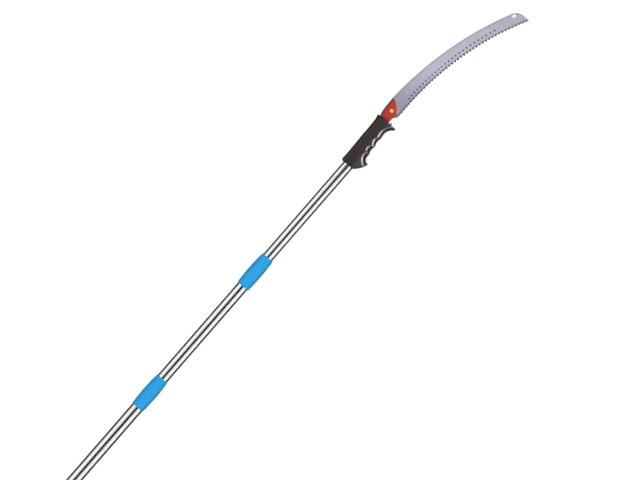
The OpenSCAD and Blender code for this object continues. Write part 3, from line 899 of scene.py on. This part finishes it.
def blade_outline(settings):
    """Points round the blade, and for each the width of the bevel that it is ground with."""
    first, turn, count = tooth_row(settings)
    depth, bevel, tip_bevel = settings.depth / MM, settings.bevel / MM, settings.tip_bevel / MM
    last = first - count * turn
    line_end = around(TOOTH_CENTRE, TOOTH_LINE_R, last)
    cutting = HEEL[1:]
    for i in range(count):
        radius = TOOTH_LINE_R + depth * tooth_size(i, count)
        cutting += [around(TOOTH_CENTRE, radius, first - (i + end) * turn) for end in TOOTH_ENDS]
    cutting.append(around(TOOTH_CENTRE, TOOTH_LINE_R + 0.3, last))
    points = [(HEEL[0], HEEL_BEVEL)] + [(p, EDGE_BEVEL) for p in cutting]
    corner_r = SPINE_R - TIP_CORNER_R
    corner_turn = math.acos((TIP_X - TIP_CORNER_R - SPINE_CENTRE[0]) / corner_r)
    corner = around(SPINE_CENTRE, corner_r, corner_turn)
    spine_turn = math.acos((HEEL[0][0] - SPINE_CENTRE[0]) / SPINE_R)
    points += [((TIP_X, line_end[1] - 0.6), tip_bevel)]
    points += [(around(corner, TIP_CORNER_R, corner_turn * i / 16), tip_bevel) for i in range(17)]
    steps, narrow = 72, 6
    points += [(around(SPINE_CENTRE, SPINE_R, corner_turn + (spine_turn - corner_turn) * i / steps),
                bevel - (bevel - tip_bevel) * max(0, 1 - i / narrow)) for i in range(1, steps + 1)]
    return points


def inward(points, widths):
    """Each point moved in, square to the outline, by its own width."""
    pts = np.array(points)
    ahead, behind = np.roll(pts, -1, axis=0) - pts, pts - np.roll(pts, 1, axis=0)
    ahead /= np.linalg.norm(ahead, axis=1)[:, None]
    behind /= np.linalg.norm(behind, axis=1)[:, None]
    mean = ahead + behind
    mean /= np.linalg.norm(mean, axis=1)[:, None]
    left = np.stack([-mean[:, 1], mean[:, 0]], axis=1)
    stretch = 1 / np.clip(np.sum(mean * ahead, axis=1), 0.5, 1)
    return pts + left * (np.array(widths) * stretch)[:, None]


def plate_half():
    """Half the blade's thickness, in millimetres."""
    low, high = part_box("blade")
    return (high[2] - low[2]) / 2 / MM


def closed_pairs(items):
    """Each item with the next one, and the last with the first."""
    return zip(items, items[1:] + items[:1])


def blade_plate(settings, finish, shaded_bevel_finish):
    """The ground plate: flat faces, a bevel along the spine and the tip, the hang slot and the
    dimples' holes."""
    half = plate_half()
    edge, widths = map(list, zip(*blade_outline(settings)))
    wide = [w > EDGE_BEVEL for w in widths]
    inner = inward(edge, widths)
    drop = [BEVEL_DROP if is_wide else EDGE_DROP for is_wide in wide]
    run = (SLOT[0] - SLOT[1]) / 2
    slot = [around(around(SLOT_AT, sign * run, SLOT_TURN), SLOT[1] / 2,
                   SLOT_TURN + math.pi * (i / 12 - sign / 2)) for sign in (1, -1) for i in range(13)]
    slot_out = inward(slot, [-SLOT_RIM] * len(slot))
    # The wide bevels and the slot's rim take the darker bevel finish: painted shade on their tilted faces.
    outline_kinds = [int(a and b) for a, b in closed_pairs(wide)]
    slot_kinds = [1] * len(slot)

    work = bmesh.new()

    def ring(points, heights):
        return [work.verts.new(set_out(point, z)) for point, z in zip(points, heights)]

    def band(upper, lower, kinds):
        for (a, b), (c, d), kind in zip(closed_pairs(upper), closed_pairs(lower), kinds):
            work.faces.new((a, b, d, c)).material_index = kind

    for sign in (1, -1):
        inner_ring = ring(inner, [sign * half] * len(edge))
        edge_ring = ring(edge, [sign * (half - d) for d in drop])
        slot_ring = ring(slot_out, [sign * half] * len(slot))
        slot_lip = ring(slot, [sign * (half - SLOT_RIM / 2)] * len(slot))
        band(inner_ring, edge_ring, outline_kinds)
        band(slot_lip, slot_ring, slot_kinds)
        if sign > 0:
            top_edge, top_slot = edge_ring, slot_lip
        else:
            band(top_edge, edge_ring, outline_kinds)
            band(slot_lip, top_slot, slot_kinds)
        loops = [work.edges.get(pair) for made in (inner_ring, slot_ring) for pair in closed_pairs(made)]
        for place in dimple_places(settings):
            made = ring(dimple_rim(place), [sign * half] * DIMPLE_STEPS)
            loops += [work.edges.new(pair) for pair in closed_pairs(made)]
        bmesh.ops.triangle_fill(work, use_beauty=True, use_dissolve=False, edges=loops)
    bmesh.ops.recalc_face_normals(work, faces=work.faces)
    mesh = bpy.data.meshes.new("blade_plate")
    work.to_mesh(mesh)
    work.free()
    mesh.materials.append(finish)
    mesh.materials.append(shaded_bevel_finish)
    return add_object("blade_plate", mesh)


def dimple_places(settings):
    """Centres of the dimples in one face, on an arc a little above the teeth."""
    start_r = TOOTH_LINE_R + DIMPLE_ROW
    turn = math.acos((FIRST_DIMPLE_X - TOOTH_CENTRE[0]) / start_r)
    places = []
    for i in range(settings.dimples):
        share = i / max(1, settings.dimples - 1)
        along = i * settings.dimple_pitch / MM * (1 - DIMPLE_SPREAD * (1 - share))
        places.append(around(TOOTH_CENTRE, start_r + DIMPLE_RISE * share, turn - along / start_r))
    return places


def dimple_rim(place):
    """The hole in the plate that a bowl is set in."""
    return [around(place, DIMPLE_R, 2 * math.pi * i / DIMPLE_STEPS) for i in range(DIMPLE_STEPS)]


def dimple_bowl(finish):
    """The shallow bowl that a punch leaves, its rim at the origin's height."""
    verts, faces = lathed([(DIMPLE_R, 0.0), (1.6, -0.2), (0.85, -0.34)], DIMPLE_STEPS)
    lowest = len(verts)
    ring = range(lowest - DIMPLE_STEPS, lowest)
    faces += [(ring[i - 1], ring[i], lowest) for i in range(DIMPLE_STEPS)]
    return mesh_piece("dimple_bowl", np.array(verts + [(0, 0, -0.4)]) * MM, faces, finish)


def set_dimples(plate, settings, finish):
    """Sets a bowl in each hole of the plate's two faces."""
    half = plate_half()
    spots = [set_out(place, side * half) for side in (1, -1) for place in dimple_places(settings)]
    bowls, bowl = mesh_piece("dimple_bowls", spots, [], finish), dimple_bowl(finish)
    tree, given = node_tree("Dimples", Bowl=("NodeSocketObject", None), Turn=("NodeSocketFloat", math.pi))
    shape = add_node(tree, "GeometryNodeObjectInfo", {"Object": given["Bowl"], "As Instance": True})
    place = add_node(tree, "ShaderNodeSeparateXYZ", {0: add_node(tree, "GeometryNodeInputPosition")})
    on_back = add_node(tree, "ShaderNodeMath", {0: place.outputs[2], 1: 0.0}, operation="LESS_THAN")
    flip = add_node(tree, "ShaderNodeMath", {0: on_back, 1: given["Turn"]}, operation="MULTIPLY")
    placed = add_node(tree, "GeometryNodeInstanceOnPoints", {
        "Points": given["Geometry"], "Instance": shape.outputs["Geometry"],
        "Rotation": add_node(tree, "ShaderNodeCombineXYZ", {0: flip})})
    close_tree(tree, placed, finish)
    settled(bowls, tree, {"Bowl": bowl})
    plate.data.materials.append(finish)
    last = len(plate.data.materials) - 1
    bowls.data.polygons.foreach_set("material_index", [last] * len(bowls.data.polygons))
    work = bmesh.new()
    work.from_mesh(plate.data)
    work.from_mesh(bowls.data)
    bmesh.ops.remove_doubles(work, verts=work.verts, dist=0.01 * MM)
    work.to_mesh(plate.data)
    work.free()
    for tool in (bowl, bowls):
        bpy.data.objects.remove(tool)
    return plate


def tooth_blank(name, ground_side, settings, finish):
    """One tooth, ground to an edge on one side. Its point is on the X axis and its root towards +Y."""
    verts = [(along * settings.pitch, down * settings.depth, side * ground_side * TOOTH_HALF)
             for side, shape in ((-1, TOOTH_FULL), (1, TOOTH_GROUND)) for along, down in shape]
    count = len(TOOTH_FULL)
    full, ground = list(range(count)), list(range(count, 2 * count))
    faces = [(a, b, d, c) for (a, b), (c, d) in zip(closed_pairs(full), closed_pairs(ground))]
    faces += [full, ground[::-1]]
    return outward(mesh_piece(name, verts, faces, finish, 10), 10)


def teeth(settings, finish):
    """The row of teeth, ground on one side and the other by turns."""
    first, turn, count = tooth_row(settings)
    blanks = [tooth_blank("tooth_face", 1, settings, finish), tooth_blank("tooth_back", -1, settings, finish)]
    tree, given = node_tree(
        "Teeth", Face=("NodeSocketObject", None), Back=("NodeSocketObject", None),
        Count=("NodeSocketInt", 40),
        First=("NodeSocketFloat", 1.6), Turn=("NodeSocketFloat", 0.011), Radius=("NodeSocketFloat", 0.716))
    index = add_node(tree, "GeometryNodeInputIndex")
    turned_by = add_node(tree, "ShaderNodeMath", {0: index, 1: given["Turn"]}, operation="MULTIPLY")
    angle = add_node(tree, "ShaderNodeMath", {0: given["First"], 1: turned_by}, operation="SUBTRACT")
    upright = add_node(tree, "ShaderNodeMath", {0: angle, 1: math.pi / 2}, operation="SUBTRACT")
    way = add_node(tree, "ShaderNodeCombineXYZ", {
        0: add_node(tree, "ShaderNodeMath", {0: angle}, operation="COSINE"),
        1: add_node(tree, "ShaderNodeMath", {0: angle}, operation="SINE")})
    spot = add_node(tree, "ShaderNodeVectorMath", {0: way, 1: given["Radius"], 2: TOOTH_PLACE},
                    operation="MULTIPLY_ADD")
    to_end = add_node(tree, "ShaderNodeMath", {0: given["Count"], 1: index}, operation="SUBTRACT")
    size = 1.0
    for steps, growth, least in ((index, TOOTH_GROWTH, FIRST_TOOTH),
                                 (to_end, TIP_GROWTH, LAST_TOOTH - TIP_GROWTH)):
        grown = add_node(tree, "ShaderNodeMath", {0: steps, 1: growth, 2: least}, operation="MULTIPLY_ADD")
        size = add_node(tree, "ShaderNodeMath", {0: size, 1: grown}, operation="MINIMUM")
    pair = add_node(tree, "GeometryNodeJoinGeometry")
    for side in ("Face", "Back"):
        info = add_node(tree, "GeometryNodeObjectInfo", {"Object": given[side], "As Instance": True})
        tree.links.new(info.outputs["Geometry"], pair.inputs[0])
    placed = add_node(tree, "GeometryNodeInstanceOnPoints", {
        "Points": add_node(tree, "GeometryNodePoints", {"Count": given["Count"], "Position": spot}),
        "Instance": pair, "Pick Instance": True,
        "Instance Index": add_node(tree, "ShaderNodeMath", {0: index, 1: 2.0}, operation="MODULO"),
        "Rotation": add_node(tree, "ShaderNodeCombineXYZ", {2: upright}),
        "Scale": add_node(tree, "ShaderNodeCombineXYZ", {0: 1.0, 1: size, 2: 1.0})})
    close_tree(tree, placed, finish)
    piece = mesh_piece("blade_teeth", [(0, 0, 0)], [], finish)
    settled(piece, tree, {"Face": blanks[0], "Back": blanks[1], "Count": count, "First": first, "Turn": turn,
                          "Radius": TOOTH_LINE_R * MM})
    for blank in blanks:
        bpy.data.objects.remove(blank)
    return piece


def rivet(finish):
    """A tubular rivet: domed head on the face, rolled collar on the back."""
    low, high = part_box("blade_rivet")
    centre = [(a + b) / 2 for a, b in zip(low, high)]
    seat, radius = FERRULE_HALF + 0.03, (high[1] - low[1]) / 2 / MM
    dome = [(radius * math.sin(a), seat + 0.5 + 1.2 * math.cos(a)) for a in
            (math.radians(t) for t in (0, 15, 30, 45, 60, 75, 90))]
    profile = dome + [(radius, seat), (2.2, seat), (2.2, -seat), (4.2, -seat), (4.1, -seat - 0.5),
                      (3.7, -seat - 0.9), (1.2, -seat - 0.9), (0.8, -seat - 0.3), (0, -seat - 0.3)]
    verts, faces = lathed(profile, 48)
    verts = np.array(verts) * MM + (*centre[:2], 0)
    return outward(mesh_piece("ferrule_rivet", verts, faces, finish, 35), 35)


class POLESAW_OT_blade(bpy.types.Operator):
    """Make the blade, its dimples and its teeth"""
    bl_idname = "polesaw.blade"
    bl_label = "Blade"

    def execute(self, context):
        settings = context.scene.blade_settings
        steel = tuple(settings.steel)
        flat = ground_spring_steel("ground_spring_steel", steel)
        # A darker copy of the blade steel: painted shade on the bevels and the slot's rim.
        bevel = ground_spring_steel("shaded_bevel_steel", linear("#b6b6b9"))
        # A much darker copy of the blade steel in the dimples: painted shade in their hollows.
        dimple_shade_finish = ground_spring_steel("dimple_shade_steel", shade(steel, 0.2))
        hard = ground_spring_steel("hardened_tooth_steel", tuple(settings.tooth_steel), 0.3)
        plate = set_dimples(blade_plate(settings, flat, bevel), settings, dimple_shade_finish)
        stands_for(plate, "saw", "blade_steel", "blade")
        stands_for(teeth(settings, hard), "saw", "blade_steel", "blade")
        return {"FINISHED"}


class POLESAW_OT_rivets(bpy.types.Operator):
    """Make the rivet that shows and finish the one inside the handle"""
    bl_idname = "polesaw.rivets"
    bl_label = "Rivets"

    def execute(self, context):
        finish = lacquered_brass(tuple(context.scene.blade_settings.brass))
        stands_for(rivet(finish), "saw", "rivet_brass", "blade_rivet")
        dress("heel_rivet", finish)
        return {"FINISHED"}


# ---- the stage ----

VIEW_CENTRE = (0.9956, -0.0630)
VIEW_WIDTH = 1.440
CAMERA_HEIGHT = 12.0
SENSOR = 36.0
VIEW_TURN = math.radians(-48.99)
WHITE = (1.0, 1.0, 1.0, 1.0)
WORLD_LEVEL, FLOOR_GLOW, FLOOR_REACH = 0.15, 0.9, 40
CARD_HEIGHT, CARD_START, CARD_END = 1.0, -0.3, HANDLE_X + 0.06
CARD_WIDE = math.tan(math.radians(20.5))
# Where each light stands, what it is aimed at, its length and width, and its power
LIGHTS = {
    "strip_teeth_side": ((1.0, -1.35, 0.85), (1.0, -0.03, 0), (4.0, 0.06), 9),
    "strip_grip": ((1.93, -1.0, 0.88), (1.235, -0.01, 0.01), (2.1, 0.42), 19),
    "soft_box": ((1.0, 0.4, 3.0), (1.0, 0, 0), (2.5, 1.5), 52),
    "strip_spine_side": ((0.7, 1.3, 0.9), (0.9, -0.03, 0), (4.0, 0.15), 4),
}


def white_to_eye(tree):
    """1 for rays that show the background: from the camera, in gloss and through glass."""
    path = add_node(tree, "ShaderNodeLightPath").outputs
    seen = path["Is Camera Ray"]
    for kind in ("Is Glossy Ray", "Is Transmission Ray"):
        seen = add_node(tree, "ShaderNodeMath", {0: seen, 1: path[kind]}, operation="MAXIMUM")
    return seen


def flat_card(name, low, high, z, finish):
    """A level card from one corner to the other, as part of the stage."""
    corners = [(low[0], low[1], z), (high[0], low[1], z), (high[0], high[1], z), (low[0], high[1], z)]
    card = mesh_piece(name, corners, [(0, 1, 2, 3)], finish)
    return card


def stage_world():
    """White for the eye, and a low even light on the object."""
    world = bpy.context.scene.world = bpy.data.worlds.new("studio")
    tree = emptied(world)
    level = add_node(tree, "ShaderNodeMapRange", {"Value": white_to_eye(tree), "To Min": WORLD_LEVEL})
    back = add_node(tree, "ShaderNodeBackground", {"Color": WHITE, "Strength": level})
    add_node(tree, "ShaderNodeOutputWorld", {"Surface": back})


def stage_floor():
    """A wide floor that is white to the eye and still takes the object's shadow."""
    made = bpy.data.materials.new("white_sweep")
    tree = emptied(made)
    level = add_node(tree, "ShaderNodeMath", {0: white_to_eye(tree), 1: FLOOR_GLOW}, operation="MULTIPLY")
    glow = add_node(tree, "ShaderNodeEmission", {"Color": WHITE, "Strength": level})
    paper = add_node(tree, "ShaderNodeBsdfDiffuse", {"Color": linear("#7c7c7c")})
    both = add_node(tree, "ShaderNodeAddShader", {0: glow, 1: paper})
    add_node(tree, "ShaderNodeOutputMaterial", {"Surface": both})
    flat_card("floor", (-FLOOR_REACH, -FLOOR_REACH), (FLOOR_REACH, FLOOR_REACH), FLOOR_Z, made)


def stage_cards():
    """Dark cards that only the gloss sees: they draw the dark lines along the polished tubes."""
    made = bpy.data.materials.new("black_velvet")
    tree = emptied(made)
    dark = add_node(tree, "ShaderNodeEmission", {"Color": linear("#1e1e1e"), "Strength": 1.0})
    add_node(tree, "ShaderNodeOutputMaterial", {"Surface": dark})
    just_up = FLOOR_Z + 0.1 * MM
    past_head = CAD_BOX[1][0] + 0.1, CAD_BOX[1][1] + 0.1
    for name, low, high, z in (
            ("card_above", (CARD_START, -CARD_WIDE), (CARD_END, CARD_WIDE), CARD_HEIGHT),
            ("card_below", (CARD_START, -0.4), (CARD_END, 0.4), just_up),
            ("card_above_grip", (HANDLE_X, -0.9), (HANDLE_X + 0.135, 0.9), CARD_HEIGHT),
            ("card_below_head", (CARD_END, CAD_BOX[0][1] - 0.1), past_head, just_up)):
        card = flat_card(name, low, high, z, made)
        card.visible_camera = card.visible_diffuse = card.visible_shadow = card.visible_transmission = False


def strip_light(name, place, aim, size, power):
    """A rectangular light, turned to its aim."""
    data = bpy.data.lights.new(name, "AREA")
    data.shape = "RECTANGLE"
    data.size, data.size_y = size
    data.energy = power
    light = add_object(name, data)
    light.location = place
    light.rotation_euler = (Vector(aim) - Vector(place)).to_track_quat("-Z", "Y").to_euler()
    light.visible_camera = False
    return light


class POLESAW_OT_stage(bpy.types.Operator):
    """Set up the camera, the white floor, the cards and the strip lights"""
    bl_idname = "polesaw.stage"
    bl_label = "Stage"

    def execute(self, context):
        data = bpy.data.cameras.new("camera")
        data.sensor_width = SENSOR
        data.lens = SENSOR * CAMERA_HEIGHT / VIEW_WIDTH
        data.clip_end = 100
        camera = add_object("camera", data)
        camera.location = (*VIEW_CENTRE, CAMERA_HEIGHT)
        camera.rotation_euler = (0, 0, VIEW_TURN)
        context.scene.camera = camera
        context.scene.view_settings.view_transform = "Standard"
        stage_world()
        stage_floor()
        stage_cards()
        lights = {name: strip_light(name, *how) for name, how in LIGHTS.items()}
        lights["soft_box"].visible_glossy = False
        lights["strip_grip"].visible_diffuse = False
        lights["strip_grip"].light_linking.receiver_collection = lit_by_grip_strip()
        return {"FINISHED"}


class POLESAW_PT_panel(bpy.types.Panel):
    """Lists the steps that make the pole saw"""
    bl_idname = "POLESAW_PT_panel"
    bl_label = "Pole Saw"
    bl_space_type = "VIEW_3D"
    bl_region_type = "UI"
    bl_category = "Pole Saw"

    def draw(self, context):
        for step in STEPS:
            self.layout.operator(step.bl_idname)
        for group in GROUPS:
            box = self.layout.box()
            settings = getattr(context.scene, group)
            for name in GROUPS[group].__annotations__:
                box.prop(settings, name)


STEPS = (POLESAW_OT_stage, POLESAW_OT_tubes, POLESAW_OT_locks, POLESAW_OT_cap, POLESAW_OT_handle,
         POLESAW_OT_fasteners, POLESAW_OT_ferrule, POLESAW_OT_blade, POLESAW_OT_rivets)
GROUPS = {"pole_settings": PoleSettings, "handle_settings": HandleSettings, "blade_settings": BladeSettings}


def register():
    """Makes the settings, the steps and the panel known to Blender."""
    for made in (*GROUPS.values(), *STEPS, POLESAW_PT_panel):
        bpy.utils.register_class(made)
    for name, group in GROUPS.items():
        setattr(bpy.types.Scene, name, bpy.props.PointerProperty(type=group))


def unregister():
    """Takes them out again."""
    for name in GROUPS:
        delattr(bpy.types.Scene, name)
    for made in (POLESAW_PT_panel, *reversed(STEPS), *reversed(GROUPS.values())):
        bpy.utils.unregister_class(made)


def main():
    """Runs the steps in order."""
    register()
    for step in STEPS:
        group, name = step.bl_idname.split(".")
        getattr(getattr(bpy.ops, group), name)()


if __name__ == "__main__":
    main()
